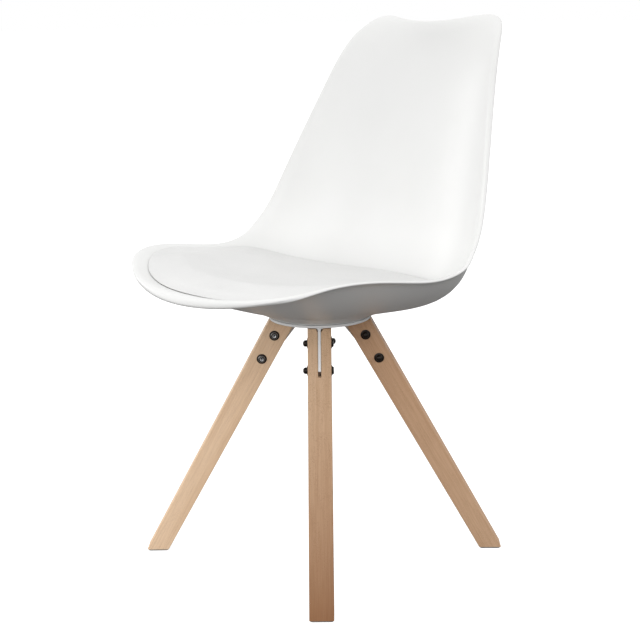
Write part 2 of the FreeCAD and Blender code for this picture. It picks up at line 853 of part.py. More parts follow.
def pad_cover(foot):
    """Leatherette skin over the foam's crown and down its side, open below."""
    inner = [pad_ring(share * PAD_FOAM_SHARE, crown(0)) for share in PAD_RINGS]
    outer = [pad_ring(share, crown(dim("cushion_cover_thickness"))) for share in reversed(PAD_RINGS)]
    inner[0] = flattened(inner[0])
    outer[-1] = flattened(outer[-1])
    inside = [inner[-1], pad_ring(PAD_FOAM_SHARE, level(foot))]
    under = [inside[-1], pad_ring(1.0, level(foot))]
    outside = [under[-1], outer[0]]
    return closed_solid([inner, inside, under, outside, outer])


def make_cushion():
    gap = dim("cushion_gap")
    board_top = gap + dim("cushion_board_thickness")
    board = pad_solid(level(gap), level(board_top), PAD_BOARD_SHARE)
    foam = pad_solid(level(board_top), crown(0), PAD_FOAM_SHARE)
    return [
        shape_feature("cushion_base_board", board),
        shape_feature("cushion_foam", foam),
        shape_feature("cushion_cover", pad_cover(board_top)),
    ]


# ---------------------------------------------------------------- build, check, write
nodes = [make_shell()]
nodes += make_cushion()
nodes.append(make_plate())
nodes.append(make_plate_spacers())
nodes.append(make_seat_inserts())
nodes.append(make_seat_screws())
for place, angle in LEG_ANGLES.items():
    nodes.append(make_leg(place, angle))
    nodes.append(make_fin(place, angle))
    nodes += make_leg_fasteners(place, angle)
    nodes.append(make_glide(place, angle))

doc.recompute()
for item in doc.Objects:
    if "Invalid" in item.State or "Error" in item.State:
        raise RuntimeError(f"{item.Label} did not build: {item.State}")
os.makedirs("parts", exist_ok=True)
whole = FreeCAD.BoundBox()
for node in nodes:
    if node.Shape.isNull() or not node.Shape.isValid():
        raise RuntimeError(f"{node.Label} has no valid shape")
    node.Shape.exportStep(f"parts/{node.Label}.step")
    whole.add(node.Shape.BoundBox)
    print(f"{node.Label}: {len(node.Shape.Solids)} solid(s), {node.Shape.Volume / 1000:.1f} cm3")
print(f"{len(nodes)} nodes, box {whole}")
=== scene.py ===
"""Dining chair: white moulded tub with a leatherette pad, on four beech legs.

Metres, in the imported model's frame: +Z up, the sitter faces -Y, the floor is Z = 0.
"""

import math

import bmesh
import bpy
import numpy as np
from mathutils import Matrix, Vector


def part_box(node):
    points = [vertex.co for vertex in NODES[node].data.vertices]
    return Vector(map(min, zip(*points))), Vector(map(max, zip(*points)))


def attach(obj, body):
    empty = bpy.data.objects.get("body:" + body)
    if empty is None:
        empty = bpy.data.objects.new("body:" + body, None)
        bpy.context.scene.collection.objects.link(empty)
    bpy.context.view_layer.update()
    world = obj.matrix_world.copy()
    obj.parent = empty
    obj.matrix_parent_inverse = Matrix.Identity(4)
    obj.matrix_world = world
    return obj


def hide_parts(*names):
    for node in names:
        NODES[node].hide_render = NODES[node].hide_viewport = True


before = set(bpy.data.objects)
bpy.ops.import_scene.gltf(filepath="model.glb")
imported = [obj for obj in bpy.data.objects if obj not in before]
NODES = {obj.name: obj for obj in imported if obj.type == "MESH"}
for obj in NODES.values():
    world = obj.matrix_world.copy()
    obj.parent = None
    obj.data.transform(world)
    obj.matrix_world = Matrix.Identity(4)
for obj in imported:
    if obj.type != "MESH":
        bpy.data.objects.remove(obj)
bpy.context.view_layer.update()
MM = 0.001
BODY = "root"

# Degrees round the chair's axis from +X, for the legs and for the screws in the plate.
PLACES = {"front_left": -45, "back_left": 44, "back_right": 136, "front_right": 225}
SCREW_ANGLES = (0, 90, 180, 270)
SCREW_CIRCLE_RADIUS = 56 * MM

plate_low, plate_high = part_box("mounting_plate")
LEG_AXIS = Vector(((plate_low.x + plate_high.x) / 2, (plate_low.y + plate_high.y) / 2, 0))
PLATE_UNDERSIDE = plate_low.z
BOSS_FOOT = plate_high.z + 0.6 * MM
BOSS_RADIUS = (plate_high.x - plate_low.x) / 2 - 1 * MM
BOSS_ROOT = BOSS_FOOT + 3.5 * MM
BOSS_FLARE = 0.45        # rise of the flare round the boss, for each unit outwards
BOSS_FLARE_FOOT = BOSS_FOOT + 0.8 * MM
LEG_WIDTH = 35 * MM
LEG_TOP_RADII = (35.4 * MM, 76.8 * MM)
LEG_FOOT_RADII = (247.1 * MM, 281.3 * MM)
BOLT_DROPS = (24.5 * MM, 61 * MM)


# ---------------------------------------------------------------- camera, floor and light
def make_camera():
    """Three-quarter view from the sitter's front left, a little above the seat."""
    azimuth = math.radians(46.0)
    elevation = math.radians(13.02)
    roll = math.radians(-1.0)
    distance = 2.0593
    target_height = 0.3685
    target = LEG_AXIS + Vector((0, 0, target_height))
    back = Vector((
        math.sin(azimuth) * math.cos(elevation),
        -math.cos(azimuth) * math.cos(elevation),
        math.sin(elevation),
    ))
    level_right = Vector((math.cos(azimuth), math.sin(azimuth), 0))
    level_up = back.cross(level_right)
    right = level_right * math.cos(roll) + level_up * math.sin(roll)
    up = level_up * math.cos(roll) - level_right * math.sin(roll)
    data = bpy.data.cameras.new("camera")
    data.sensor_width = 36
    data.lens = 75.43
    camera = bpy.data.objects.new("camera", data)
    turn = Matrix((right, up, back)).transposed().to_4x4()
    camera.matrix_world = Matrix.Translation(target + back * distance) @ turn
    bpy.context.scene.collection.objects.link(camera)
    bpy.context.scene.camera = camera


def add_softbox(name, place, aim, size, power):
    data = bpy.data.lights.new(name, "AREA")
    data.shape = "RECTANGLE"
    data.size, data.size_y = size
    data.energy = power
    lamp = bpy.data.objects.new(name, data)
    lamp.location = place
    lamp.rotation_mode = "QUATERNION"
    lamp.rotation_quaternion = (Vector(aim) - Vector(place)).to_track_quat("-Z", "Y")
    bpy.context.scene.collection.objects.link(lamp)


def light_the_room():
    """Even white studio, with more light from the front and the left than from the right."""
    world = bpy.data.worlds.new("pale_room")
    world.use_nodes = True
    walls = world.node_tree.nodes["Background"]
    walls.inputs["Color"].default_value = (1.0, 1.0, 1.0, 1)
    walls.inputs["Strength"].default_value = 1.0
    bpy.context.scene.world = world
    bpy.context.scene.view_settings.view_transform = "Standard"
    add_softbox("left_softbox", (-2.6, -0.8, 0.9), aim=(0, 0, 0.3), size=(1.6, 1.2), power=13)
    add_softbox("high_front_softbox", (1.7, -2.3, 2.0), aim=(0, 0, 0.4), size=(1.5, 1.3), power=13)
    add_softbox("low_front_softbox", (0.4, -3.0, 0.9), aim=(0, 0, 0.3), size=(1.6, 1.2), power=13)
    add_softbox("right_softbox", (2.6, 0.2, 1.5), aim=(0, 0, 0.4), size=(1.6, 1.6), power=4)


def make_floor():
    """Pale floor that looks bright but throws little light back up under the seat."""
    half = 60.0
    mesh = bpy.data.meshes.new("floor")
    corners = [(-half, -half, 0), (half, -half, 0), (half, half, 0), (-half, half, 0)]
    mesh.from_pydata(corners, [], [(0, 1, 2, 3)])
    floor = bpy.data.objects.new("floor", mesh)
    bpy.context.scene.collection.objects.link(floor)
    material = bpy.data.materials.new("pale_floor")
    material.use_nodes = True
    tree = material.node_tree
    tree.nodes.clear()
    matt = tree.nodes.new("ShaderNodeBsdfDiffuse")
    matt.inputs["Color"].default_value = (0.45, 0.45, 0.45, 1)
    glow = tree.nodes.new("ShaderNodeEmission")
    glow.inputs["Strength"].default_value = 0.92
    seen = tree.nodes.new("ShaderNodeAddShader")
    bounced = tree.nodes.new("ShaderNodeBsdfDiffuse")
    bounced.inputs["Color"].default_value = (0.15, 0.15, 0.15, 1)
    path = tree.nodes.new("ShaderNodeLightPath")
    mix = tree.nodes.new("ShaderNodeMixShader")
    out = tree.nodes.new("ShaderNodeOutputMaterial")
    tree.links.new(matt.outputs[0], seen.inputs[0])
    tree.links.new(glow.outputs[0], seen.inputs[1])
    tree.links.new(path.outputs["Is Camera Ray"], mix.inputs[0])
    tree.links.new(bounced.outputs[0], mix.inputs[1])
    tree.links.new(seen.outputs[0], mix.inputs[2])
    tree.links.new(mix.outputs[0], out.inputs["Surface"])
    mesh.materials.append(material)


# ---------------------------------------------------------------- material helpers
class Finish:
    """A material under construction: the shader, and short calls that add and join nodes."""

    def __init__(self, name, **sockets):
        self.material = bpy.data.materials.new(name)
        self.material.use_nodes = True
        self.tree = self.material.node_tree
        self.shader = self.tree.nodes["Principled BSDF"]
        for socket, value in sockets.items():
            self.shader.inputs[socket.replace("_", " ")].default_value = value

    def node(self, kind, inputs=None, **settings):
        made = self.tree.nodes.new("ShaderNode" + kind)
        for name, value in settings.items():
            setattr(made, name, value)
        for name, value in (inputs or {}).items():
            if isinstance(value, bpy.types.NodeSocket):
                self.tree.links.new(value, made.inputs[name])
            else:
                made.inputs[name].default_value = value
        return made

    def place(self, scale=(1, 1, 1), turn=(0, 0, 0), shift=(0, 0, 0)):
        """Object coordinates, shifted, turned and stretched."""
        coordinates = self.node("TexCoord")
        turned = self.node("Mapping", {
            "Vector": coordinates.outputs["Object"], "Rotation": turn, "Location": shift,
        })
        stretched = self.node("Mapping", {"Vector": turned.outputs[0], "Scale": scale})
        return stretched.outputs[0]

    def noise(self, vector, scale, detail=2.0, roughness=0.5, distortion=0.0):
        return self.node("TexNoise", {
            "Vector": vector, "Scale": scale, "Detail": detail,
            "Roughness": roughness, "Distortion": distortion,
        }).outputs["Fac"]

    def ramp(self, factor, stops):
        """Colour or grey ramp; stops are (position, grey or colour)."""
        made = self.node("ValToRGB", {"Fac": factor})
        elements = made.color_ramp.elements
        while len(elements) < len(stops):
            elements.new(0.5)
        for element, (position, value) in zip(elements, stops):
            element.position = position
            colour = value if isinstance(value, tuple) else (value, value, value)
            element.color = (*colour, 1)
        return made.outputs["Color"]

    def mix(self, factor, first, second, blend="MIX"):
        made = self.node("Mix", {}, data_type="RGBA", blend_type=blend)
        colours = ((made.inputs[0], factor), (made.inputs[6], first), (made.inputs[7], second))
        for socket, value in colours:
            if isinstance(value, bpy.types.NodeSocket):
                self.tree.links.new(value, socket)
            elif isinstance(value, tuple):
                socket.default_value = (*value, 1)
            else:
                socket.default_value = value
        return made.outputs[2]

    def sums(self, operation, first, second):
        made = self.node("Math", {}, operation=operation)
        for socket, value in zip(made.inputs, (first, second)):
            if isinstance(value, bpy.types.NodeSocket):
                self.tree.links.new(value, socket)
            else:
                socket.default_value = value
        return made.outputs[0]

    def bumps(self, *layers):
        """Bump layers, each (height socket, distance in metres, strength), one over another."""
        normal = None
        for height, distance, strength in layers:
            inputs = {"Height": height, "Distance": distance, "Strength": strength}
            if normal is not None:
                inputs["Normal"] = normal
            normal = self.node("Bump", inputs).outputs[0]
        self.tree.links.new(normal, self.shader.inputs["Normal"])

    def colour(self, socket):
        self.tree.links.new(socket, self.shader.inputs["Base Color"])

    def rough(self, socket):
        self.tree.links.new(socket, self.shader.inputs["Roughness"])

    def worn_edges(self, radius):
        """1 on edges and corners, 0 on flat faces, from how far a bevel would bend the normal."""
        bevel = self.node("Bevel", {"Radius": radius}, samples=4)
        geometry = self.node("NewGeometry")
        turn = self.node("VectorMath", {}, operation="DOT_PRODUCT")
        self.tree.links.new(bevel.outputs[0], turn.inputs[0])
        self.tree.links.new(geometry.outputs["Normal"], turn.inputs[1])
        return self.ramp(turn.outputs["Value"], [(0.80, 1.0), (0.97, 0.0)])


# ---------------------------------------------------------------- finishes
def moulded_plastic():
    """White polypropylene: satin, with a very fine moulded pebble and faint, broad flow marks."""
    finish = Finish("shell_plastic", Roughness=0.36, Specular_IOR_Level=0.5)
    place = finish.place()
    flow = finish.noise(place, 7, detail=3)
    finish.colour(finish.ramp(flow, [(0.3, (0.800, 0.801, 0.790)), (0.7, (0.822, 0.823, 0.815))]))
    pebble = finish.noise(place, 1500, detail=2)
    finish.rough(finish.ramp(finish.noise(place, 22, detail=4), [(0.25, 0.33), (0.75, 0.42)]))
    finish.bumps((flow, 0.0006, 0.25), (pebble, 0.00006, 0.5))
    return finish.material


def leatherette():
    """White coated cloth: small creased cells pressed into a satin skin."""
    finish = Finish("pad_leatherette", Roughness=0.46, Specular_IOR_Level=0.45)
    place = finish.place()
    warp = finish.node("TexNoise", {"Vector": place, "Scale": 160, "Detail": 2.0}).outputs["Color"]
    bent = finish.node("VectorMath", {"Scale": 0.0012}, operation="SCALE")
    finish.tree.links.new(warp, bent.inputs[0])
    moved = finish.node("VectorMath", {}, operation="ADD")
    finish.tree.links.new(place, moved.inputs[0])
    finish.tree.links.new(bent.outputs[0], moved.inputs[1])
    cells = finish.node(
        "TexVoronoi", {"Vector": moved.outputs[0], "Scale": 720}, feature="DISTANCE_TO_EDGE"
    )
    creases = finish.ramp(cells.outputs["Distance"], [(0.0, 0.0), (0.16, 1.0)])
    cloud = finish.noise(place, 14, detail=3)
    tone = finish.ramp(cloud, [(0.3, (0.745, 0.745, 0.738)), (0.7, (0.775, 0.775, 0.768))])
    shade = finish.ramp(creases, [(0.0, 0.22), (0.6, 0.0)])
    finish.colour(finish.mix(shade, tone, (0.66, 0.655, 0.64)))
    finish.rough(finish.ramp(creases, [(0.0, 0.58), (1.0, 0.43)]))
    pores = finish.noise(place, 2600, detail=1)
    finish.bumps((cloud, 0.0008, 0.3), (creases, 0.00011, 0.55), (pores, 0.00003, 0.4))
    return finish.material


# Each leg is sawn from its own board: its tint at the foot and at the top, how strong its dark
# flecks are, and where in the board it lies. The tints are partly each board's own tone and partly
# painted light and shade: the front-left leg's much darker foot is painted shade, and the
# front-right leg's brighter tints are in part painted light.
LEG_TONES_AND_PAINTED_LIGHT = {
    "front_left": ((0.40, 0.235, 0.115), (1.14, 1.08, 1.0), 0.8, (3.1, 0.4, 7.0)),
    "back_left": ((1.0, 0.89, 0.80), (0.96, 0.80, 0.68), 0.45, (1.7, 5.2, 2.4)),
    "back_right": ((0.98, 0.90, 0.83), (0.98, 0.88, 0.80), 0.5, (6.3, 2.8, 0.9)),
    "front_right": ((1.48, 1.46, 1.42), (1.42, 1.40, 1.36), 0.3, (0.6, 8.1, 4.2)),
}


def beech(place_name):
    """Steamed beech, matt lacquered: straight grain down the leg, with short dark rays."""
    foot_tint, top_tint, fleck_strength, shift = LEG_TONES_AND_PAINTED_LIGHT[place_name]
    finish = Finish("beech_" + place_name, Roughness=0.5, Specular_IOR_Level=0.4)
    lean = math.atan2(LEG_FOOT_RADII[1] - LEG_TOP_RADII[1], PLATE_UNDERSIDE)
    turn = Matrix.Rotation(lean, 3, "Y") @ Matrix.Rotation(math.radians(-PLACES[place_name]), 3, "Z")
    angles = tuple(turn.to_euler("XYZ"))

    def along(across, down):
        return finish.place(scale=(across, across, down), turn=angles, shift=shift)

    streaks = finish.noise(along(60, 2.0), 1.0, detail=6, roughness=0.62, distortion=0.5)
    bands = finish.noise(along(16, 0.9), 1.0, detail=3, roughness=0.5, distortion=0.9)
    fibres = finish.noise(along(900, 24), 1.0, detail=3, roughness=0.6)
    ground = finish.ramp(streaks, [
        (0.3, (0.61, 0.43, 0.285)), (0.52, (0.70, 0.525, 0.375)), (0.72, (0.735, 0.56, 0.405)),
    ])
    banding = finish.ramp(bands, [(0.3, (0.90, 0.85, 0.80)), (0.7, (1.0, 1.0, 1.0))])
    threads = finish.ramp(fibres, [(0.3, (0.80, 0.74, 0.68)), (0.62, (1.0, 1.0, 1.0))])
    grained = finish.mix(0.6, finish.mix(0.5, ground, banding, "MULTIPLY"), threads, "MULTIPLY")
    height = finish.node("SeparateXYZ", {"Vector": finish.place()}).outputs["Z"]
    climb = finish.node("MapRange", {"Value": height, "From Min": 0.0, "From Max": PLATE_UNDERSIDE})
    # Foot colour to top colour up the leg: partly board tone, partly painted light and shade; the
    # front-left leg darkens towards its foot as painted shade.
    tint = finish.mix(climb.outputs["Result"], foot_tint, top_tint)
    toned = finish.mix(1.0, grained, tint, "MULTIPLY")
    rays = finish.node("TexVoronoi", {"Vector": along(330, 120), "Randomness": 1.0}, feature="F1")
    fleck = finish.ramp(rays.outputs["Distance"], [(0.16, 1.0), (0.40, 0.0)])
    patches = finish.ramp(finish.noise(along(90, 30), 1.0, detail=2), [(0.36, 0.0), (0.56, 1.0)])
    spots = finish.sums("MULTIPLY", finish.sums("MULTIPLY", fleck, patches), fleck_strength)
    finish.colour(finish.mix(spots, toned, (0.25, 0.12, 0.055)))
    finish.rough(finish.ramp(fibres, [(0.25, 0.60), (0.75, 0.44)]))
    finish.bumps((streaks, 0.0003, 0.3), (fibres, 0.00008, 0.5), (spots, 0.0001, -0.4))
    return finish.material


def powder_coat():
    """White powder coat: low orange peel, slightly thinner and greyer on sharp edges."""
    finish = Finish("white_powder_coat", Roughness=0.34, Specular_IOR_Level=0.5)
    place = finish.place()
    peel = finish.noise(place, 520, detail=2)
    dust = finish.noise(place, 40, detail=4)
    tone = finish.ramp(dust, [(0.3, (0.87, 0.872, 0.875)), (0.7, (0.91, 0.912, 0.912))])
    edge = finish.sums("MULTIPLY", finish.worn_edges(0.0003), 0.2)
    finish.colour(finish.mix(edge, tone, (0.70, 0.70, 0.69)))
    finish.rough(finish.ramp(dust, [(0.3, 0.30), (0.7, 0.40)]))
    finish.bumps((peel, 0.00012, 0.35))
    return finish.material


def black_steel():
    """Blackened screw steel: dark oxide, satin, rubbed brighter on its edges."""
    finish = Finish("black_steel", Metallic=0.85, Roughness=0.38)
    place = finish.place()
    cloud = finish.noise(place, 900, detail=3)
    base = finish.ramp(cloud, [(0.3, (0.020, 0.017, 0.015)), (0.7, (0.040, 0.034, 0.030))])
    edge = finish.sums("MULTIPLY", finish.worn_edges(0.00035), 0.55)
    finish.colour(finish.mix(edge, base, (0.30, 0.28, 0.26)))
    finish.rough(finish.ramp(cloud, [(0.3, 0.30), (0.7, 0.46)]))
    finish.bumps((finish.noise(place, 2500, detail=2), 0.00004, 0.4))
    return finish.material


def worn_steel_and_painted_highlight():
    """Brighter metal on a screw head's shoulder: partly black oxide worn thin, partly a painted
    highlight.
    """
    finish = Finish("worn_steel_and_painted_highlight", Metallic=1.0, Roughness=0.34)
    place = finish.place()
    cloud = finish.noise(place, 1400, detail=3)
    finish.colour(finish.ramp(cloud, [(0.3, (0.16, 0.155, 0.15)), (0.7, (0.34, 0.33, 0.32))]))
    finish.bumps((finish.noise(place, 2500, detail=2), 0.00003, 0.4))
    return finish.material


def zinc_plate():
    """Bright zinc plating, a little cloudy."""
    finish = Finish("zinc_plate", Metallic=1.0, Roughness=0.3)
    place = finish.place()
    cloud = finish.noise(place, 600, detail=3)
    finish.colour(finish.ramp(cloud, [(0.3, (0.64, 0.65, 0.66)), (0.7, (0.78, 0.785, 0.79))]))
    finish.rough(finish.ramp(cloud, [(0.3, 0.24), (0.7, 0.38)]))
    finish.bumps((finish.noise(place, 1800, detail=2), 0.00003, 0.4))
    return finish.material


def brass():
    """Turned brass, a little cloudy."""
    finish = Finish("turned_brass", Metallic=1.0, Roughness=0.28)
    place = finish.place()
    cloud = finish.noise(place, 300, detail=3)
    finish.colour(finish.ramp(cloud, [(0.3, (0.62, 0.45, 0.20)), (0.7, (0.78, 0.60, 0.30))]))
    finish.bumps((finish.noise(place, 1600, detail=2), 0.00003, 0.4))
    return finish.material


def matt_polymer(name, dark, pale, roughness):
    """Plain moulded part, such as a foot glide or a rubber washer."""
    finish = Finish(name, Roughness=roughness, Specular_IOR_Level=0.4)
    place = finish.place()
    cloud = finish.noise(place, 260, detail=4)
    finish.colour(finish.ramp(cloud, [(0.3, dark), (0.7, pale)]))
    finish.rough(finish.ramp(cloud, [(0.3, roughness - 0.06), (0.7, roughness + 0.08)]))
    finish.bumps((finish.noise(place, 1900, detail=2), 0.00006, 0.5))
    return finish.material


def give(node, material):
    """The CAD node keeps its shape and gets this finish."""
    mesh = NODES[node].data
    mesh.materials.clear()
    mesh.materials.append(material)


# ---------------------------------------------------------------- the tub's surface
# Stations along the tub's middle line, front edge to top edge, in millimetres: first the middle
# line's (y, height over the seat's low point), then the side edge's (share of the half-width,
# y, height).
STATIONS = [
    ((-277, 57), (0.785, -225, 68)),
    ((-259, 64), (0.840, -211, 85)),
    ((-205, 45), (0.924, -178, 102)),
    ((-108, 15), (0.987, -105, 100)),
    ((-2, 5), (0.996, -8, 85)),
    ((96, 0), (1.006, 50, 92)),
    ((151, 23), (0.992, 71, 108)),
    ((179, 92), (0.958, 99, 141)),
    ((200, 186), (0.882, 136, 220)),
    ((222, 287), (0.772, 185, 331)),
    ((239, 373), (0.705, 235, 418)),
    ((244, 428), (0.650, 311, 471)),
]
LAST_STATION = len(STATIONS) - 1
MIDDLE_STATION = 5
HALF_WIDTH = 237 * MM
SEAT_LOW_POINT = 385.6 * MM
WALL = 4.5 * MM
FRONT_POWER, BEND_POWER, TOP_POWER = 2.0, 3.15, 2.05
FRONT_ROUNDNESS, TOP_ROUNDNESS = 4.0, 5.8
RIM_SHARE = 0.99
OUTLINE_SAMPLES = 2881
SAME_POINT = 0.001 * MM


def smooth_line(points):
    """Natural cubic curve through one point per station; call it with station numbers."""
    knots = np.array(points, float)
    spans = len(knots) - 1
    system = np.eye(spans + 1) * 4
    system[0, 0] = system[-1, -1] = 1
    for row in range(1, spans):
        system[row, row - 1] = system[row, row + 1] = 1
    sides = np.zeros_like(knots)
    sides[1:-1] = 6 * (knots[2:] - 2 * knots[1:-1] + knots[:-2])
    bends = np.linalg.solve(system, sides)

    def value(station):
        first = np.clip(np.floor(station).astype(int), 0, spans - 1)
        after = (station - first)[..., None]
        before = 1 - after
        straight = before * knots[first] + after * knots[first + 1]
        curved = (before ** 3 - before) * bends[first] + (after ** 3 - after) * bends[first + 1]
        return straight + curved / 6

    return value


middle_line = smooth_line([
    (y * MM + LEG_AXIS.y, rise * MM + SEAT_LOW_POINT) for (y, rise), edge in STATIONS
])
side_edge = smooth_line([
    (share * HALF_WIDTH, y * MM + LEG_AXIS.y, rise * MM + SEAT_LOW_POINT)
    for line, (share, y, rise) in STATIONS
])


def cross_power(station):
    """Power of the cross-section's curve: flattest in the middle at the bend."""
    half = LAST_STATION / 2
    place = station / half - 1
    tilt = (TOP_POWER - FRONT_POWER) / 2
    bow = (TOP_POWER + FRONT_POWER) / 2 - BEND_POWER
    return BEND_POWER + tilt * place + bow * place ** 2


def tub_point(across, station):
    """Points of the tub's upper surface; across is -1 and 1 at its side edges."""
    station = np.clip(station, 0, LAST_STATION)
    middle = middle_line(station)
    edge = side_edge(station)
    lift = np.abs(across) ** cross_power(station)
    return np.stack([
        edge[..., 0] * across,
        middle[..., 0] + (edge[..., 1] - middle[..., 0]) * lift,
        middle[..., 1] + (edge[..., 2] - middle[..., 1]) * lift,
    ], axis=-1)


def unit(vectors):
    return vectors / np.linalg.norm(vectors, axis=-1, keepdims=True)


def tub_normal(across, station):
    """Unit normals of the upper surface, towards the sitter."""
    step = 0.01
    along = tub_point(across, station + step) - tub_point(across, station - step)
    sideways = tub_point(across + step, station) - tub_point(across - step, station)
    return unit(np.cross(sideways, along))


def rounded_outline(turn, roundness, reach):
    """Closed outline from a cosine and sine, squared up by its roundness."""
    cosine, sine = np.cos(turn), np.sin(turn)
    across = np.sign(cosine) * np.abs(cosine) ** (2 / roundness)
    along = np.sign(sine) * np.abs(sine) ** (2 / roundness) * reach
    return across, along


def tub_outline(turn):
    front = np.sin(turn) < 0
    roundness = np.where(front, FRONT_ROUNDNESS, TOP_ROUNDNESS)
    reach = np.where(front, MIDDLE_STATION, LAST_STATION - MIDDLE_STATION)
    return rounded_outline(turn, roundness, reach)


def even_spokes(outline, middle, count):
    """(across, stations from the middle) of points spaced evenly round an outline."""
    turn = np.linspace(-np.pi / 2, 3 * np.pi / 2, OUTLINE_SAMPLES)
    across, along = outline(turn)
    line = tub_point(across, middle + along)
    run = np.r_[0, np.cumsum(np.linalg.norm(np.diff(line, axis=0), axis=1))]
    wanted = np.arange(count) * run[-1] / count
    return np.interp(wanted, run, across), np.interp(wanted, run, along)


def shade_smooth(mesh):
    mesh.polygons.foreach_set("use_smooth", [True] * len(mesh.polygons))


def mesh_object(name, points, faces, material):
    mesh = bpy.data.meshes.new(name)
    mesh.from_pydata([tuple(point) for point in points], [], faces)
    mesh.validate()
    mesh.update()
    made = bpy.data.objects.new(name, mesh)
    bpy.context.scene.collection.objects.link(made)
    mesh.materials.append(material)
    shade_smooth(mesh)
    face_outwards(made)
    return made


def face_outwards(made):
    """Merge doubled points, then turn every face outwards."""
    shape = bmesh.new()
    shape.from_mesh(made.data)
    bmesh.ops.remove_doubles(shape, verts=shape.verts, dist=SAME_POINT)
    bmesh.ops.recalc_face_normals(shape, faces=shape.faces)
    shape.to_mesh(made.data)
    shape.free()
    made.data.update()


def ring_faces(rings, spokes):
    """Quads between successive rings, and a fan to the single point at each end."""
    faces = []
    for ring in range(rings - 1):
        base = 1 + ring * spokes
        for spoke in range(spokes):
            following = (spoke + 1) % spokes
            inner = (base + spoke, base + following)
            faces.append((*inner, base + spokes + following, base + spokes + spoke))
    last = 1 + (rings - 1) * spokes
    for spoke in range(spokes):
        following = (spoke + 1) % spokes
        faces.append((0, 1 + following, 1 + spoke))
        faces.append((last + spokes, last + spoke, last + following))
    return faces


def closed_form(name, first_point, rings, last_point, material):
    """Closed round form through rings, shut by a point at each end."""
    points = np.concatenate([[first_point], *rings, [last_point]])
    return mesh_object(name, points, ring_faces(len(rings), len(rings[0])), material)


# ---------------------------------------------------------------- shell
SHELL_SPOKES = 288
FIRST_SHARES = (0.01, 0.03)     # the small rings round the middle
SHELL_START = 0.06              # where the evenly spaced rings start
SHELL_RINGS = 84
LIP_RINGS = 14
SHELL_EDGE_RINGS = 7
LIP_WIDTH = 25 * MM
LIP_FLARE = 3.4 * MM
LIP_ROOM = 0.986         # the tub is this much narrower, to leave room for its flared lip
FLARE_BLEND = 3 * MM
FLARE_REACH = 40 * MM    # how far over the boss's foot the underside still feels the flare


def make_shell(material):
    """Tub wall with a rim that rolls outwards and a half-round edge."""
    across, along = even_spokes(tub_outline, MIDDLE_STATION, SHELL_SPOKES)
    across = across * LIP_ROOM
    small = 1e-3
    rim = tub_point(across * RIM_SHARE, MIDDLE_STATION + along * RIM_SHARE)
    inside = tub_point(across * (RIM_SHARE - small), MIDDLE_STATION + along * (RIM_SHARE - small))
    speed = np.linalg.norm(rim - inside, axis=1) / small
    lip_share = LIP_WIDTH / speed
    shares = [np.full(SHELL_SPOKES, share) for share in FIRST_SHARES]
    for step in np.linspace(SHELL_START, 1, SHELL_RINGS):
        shares.append(step * (RIM_SHARE - lip_share))
    for step in np.linspace(0, 1, LIP_RINGS + 1)[1:]:
        shares.append(RIM_SHARE - lip_share * (1 - step))

    def surface(share, depth):
        place = (across * share, MIDDLE_STATION + along * share)
        out = np.clip(1 - (RIM_SHARE - share) / lip_share, 0, 1)
        flare = LIP_FLARE * out ** 3
        return tub_point(*place) - tub_normal(*place) * (depth + flare)[:, None]

    def underside(share):
        """The lower surface, drawn down in a soft flare to the boss."""
        points = surface(share, np.full(SHELL_SPOKES, WALL))
        from_axis = np.hypot(points[:, 0] - LEG_AXIS.x, points[:, 1] - LEG_AXIS.y)
        flare = BOSS_FLARE_FOOT + BOSS_FLARE * np.maximum(from_axis - BOSS_RADIUS, 0)
        gap = points[:, 2] - flare
        soft = np.hypot(gap, FLARE_BLEND)
        near = np.clip((FLARE_REACH - (points[:, 2] - BOSS_FOOT)) / (FLARE_REACH / 2), 0, 1)
        points[:, 2] -= near * ((gap + soft) / 2 - FLARE_BLEND ** 2 / (4 * soft))
        return points

    upper = [surface(share, np.zeros(SHELL_SPOKES)) for share in shares]
    lower = [underside(share) for share in shares]
    centre = (upper[-1] + lower[-1]) / 2
    outward = unit(centre - (upper[-2] + lower[-2]) / 2)
    edge = []
    for angle in np.linspace(0, np.pi, SHELL_EDGE_RINGS + 2)[1:-1]:
        edge.append(
            centre + (upper[-1] - centre) * math.cos(angle) + outward * WALL / 2 * math.sin(angle)
        )
    middle = (np.zeros(1), np.full(1, float(MIDDLE_STATION)))
    top = tub_point(*middle)[0]
    bottom = lower[0].mean(axis=0)
    return closed_form("shell", top, upper + edge + lower[::-1], bottom, material)


def level_ring(radius, angles, height):
    """Points round the Z axis at one height; the radius may change with the angle."""
    heights = np.full(len(angles), height)
    return np.stack([radius * np.cos(angles), radius * np.sin(angles), heights], axis=1)


def turned(name, profile, material, centre, steps=96):
    """Lathe-turned form: profile is (radius, height) from one end of the axis to the other."""
    angles = np.linspace(0, 2 * np.pi, steps, endpoint=False)
    rings = []
    for radius, height in profile[1:-1]:
        rings.append(level_ring(radius, angles, height) + np.array(centre))
    ends = [np.array([0, 0, profile[index][1]]) + np.array(centre) for index in (0, -1)]
    return closed_form(name, ends[0], rings, ends[1], material)


def rounded(profile, radius, steps=4):
    """The profile with every corner between its ends rounded off by an arc-like curve."""
    made = [profile[0]]
    for before, corner, after in zip(profile, profile[1:], profile[2:]):
        corner = np.array(corner, float)
        to_before = np.array(before) - corner
        to_after = np.array(after) - corner
        reach = min(radius, np.linalg.norm(to_before) * 0.45, np.linalg.norm(to_after) * 0.45)
        start = corner + to_before / np.linalg.norm(to_before) * reach
        end = corner + to_after / np.linalg.norm(to_after) * reach
        for share in np.linspace(0, 1, steps + 1):
            point = start * (1 - share) ** 2 + corner * 2 * share * (1 - share) + end * share ** 2
            made.append(tuple(point))
    made.append(profile[-1])
    return made


def make_boss(material):
    """Round boss moulded under the seat, which the plate is screwed to."""
    root_radius = BOSS_RADIUS - 0.5 * MM
    profile = [(0, BOSS_ROOT), (root_radius, BOSS_ROOT), (BOSS_RADIUS, BOSS_FOOT), (0, BOSS_FOOT)]
    return turned("shell_boss", rounded(profile, 0.6 * MM), material, LEG_AXIS)


